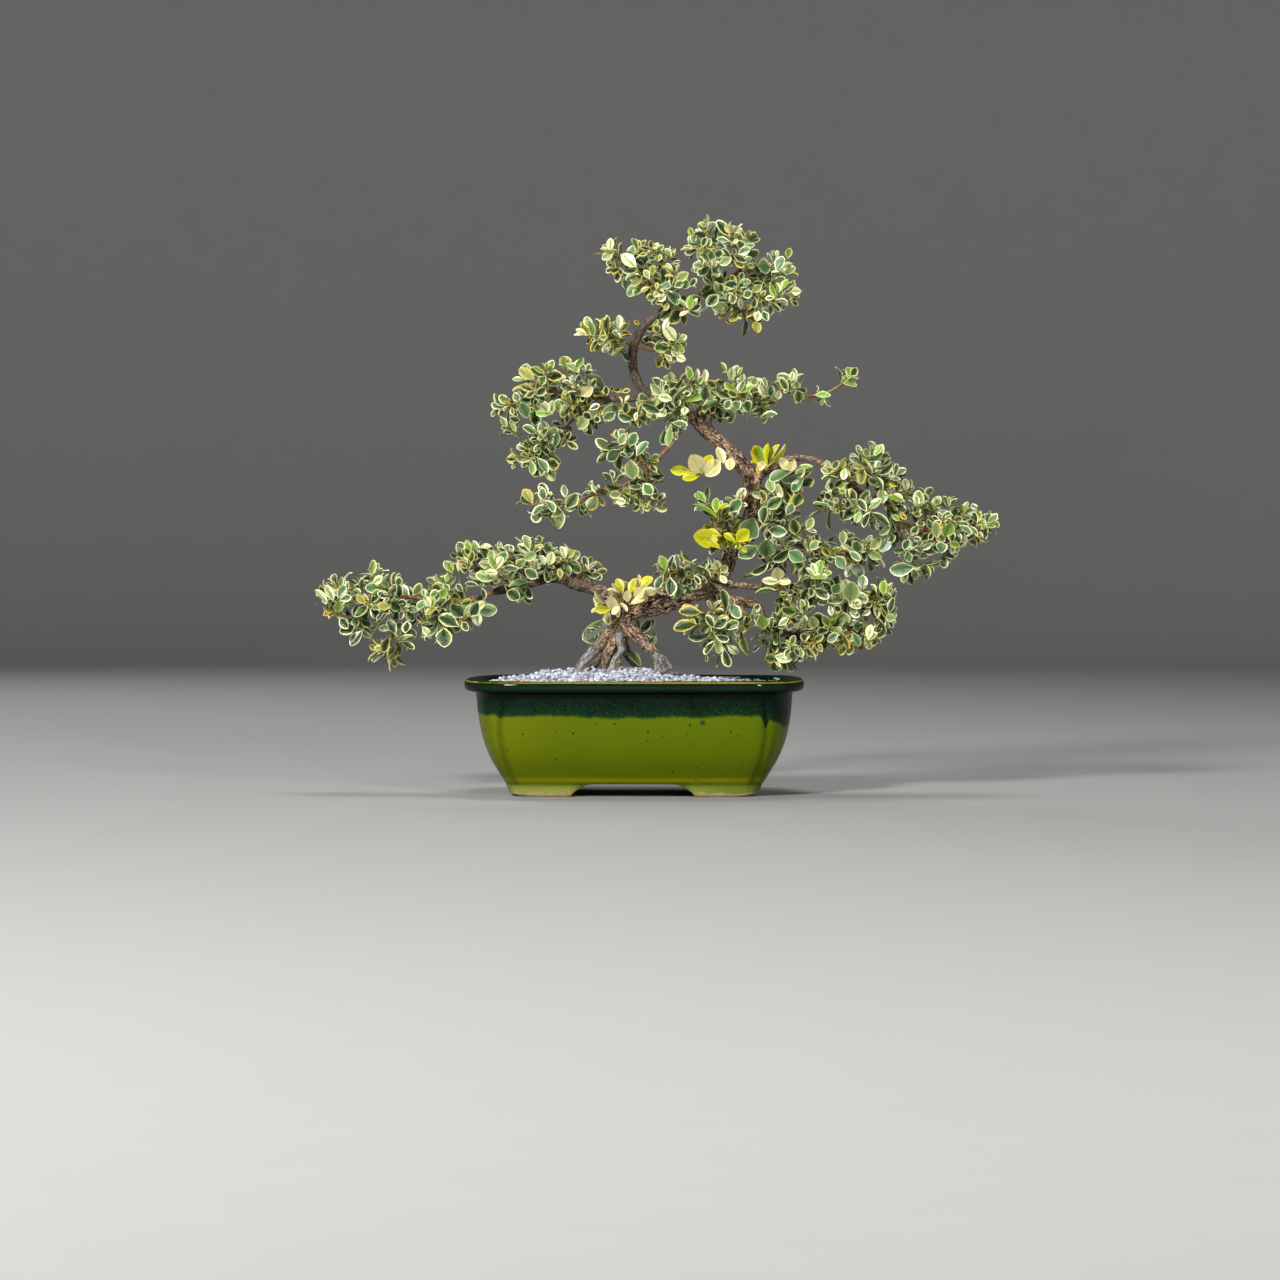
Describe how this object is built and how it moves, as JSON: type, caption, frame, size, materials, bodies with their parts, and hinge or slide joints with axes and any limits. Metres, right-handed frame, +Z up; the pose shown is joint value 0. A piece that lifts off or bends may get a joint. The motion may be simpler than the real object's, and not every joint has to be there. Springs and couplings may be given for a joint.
{
  "type": "natal plum bonsai",
  "caption": "Natal plum bonsai with small variegated leaves on a slanting trunk, in a glazed oval-cornered pot on four feet, topped with white gravel.",
  "frame": {"origin": "centre of the whole tree and pot seen from above, on the surface that the pot's feet stand on", "axes": "+X along the pot's length, towards the tree's upper right side; -Y is the front that the tree is shown from; +Z up"},
  "size_m": [0.6258, 0.2, 0.5124],
  "materials": {
    "glazed_pot": "gloss",
    "plastic_mesh": "matte",
    "soil": "matte",
    "gravel": "matte",
    "bark": "matte",
    "variegated_leaf": "satin",
    "cream_leaf": "satin",
    "yellow_leaf": "satin"
  },
  "bodies": {
    "root": {"pot": "glazed_pot", "drain_mesh_left": "plastic_mesh", "drain_mesh_right": "plastic_mesh", "soil": "soil", "gravel": "gravel", "trunk_and_branches": "bark", "spray_crown_right": "variegated_leaf", "spray_crown_left": "variegated_leaf", "spray_leader_left": "variegated_leaf", "spray_leader_right": "variegated_leaf", "spray_mid_left_upper": "variegated_leaf", "spray_mid_left_lower": "variegated_leaf", "spray_centre_pad_left": "variegated_leaf", "spray_centre_pad_right": "variegated_leaf", "spray_droop": "variegated_leaf", "spray_cream_centre": "cream_leaf", "spray_yellow_fork": "yellow_leaf", "spray_fork_front": "variegated_leaf", "spray_right_upper": "variegated_leaf", "spray_right_lower": "variegated_leaf", "spray_right_end": "variegated_leaf", "spray_yellow_trunk": "yellow_leaf", "spray_trunk_left": "variegated_leaf", "spray_mid_upper": "variegated_leaf", "spray_mid_end": "variegated_leaf", "spray_mid_lower": "variegated_leaf", "spray_low_right_upper": "variegated_leaf", "spray_yellow_low": "yellow_leaf", "spray_low_right_lower": "variegated_leaf", "spray_trunk_end": "variegated_leaf", "spray_over_trunk": "variegated_leaf", "spray_front_rosette": "variegated_leaf", "spray_left_end": "variegated_leaf", "spray_left_inner": "variegated_leaf", "spray_cream_fork": "cream_leaf", "spray_base_left": "variegated_leaf", "spray_base_right": "variegated_leaf", "spray_back_cluster": "variegated_leaf"}
  },
  "joints": []
}
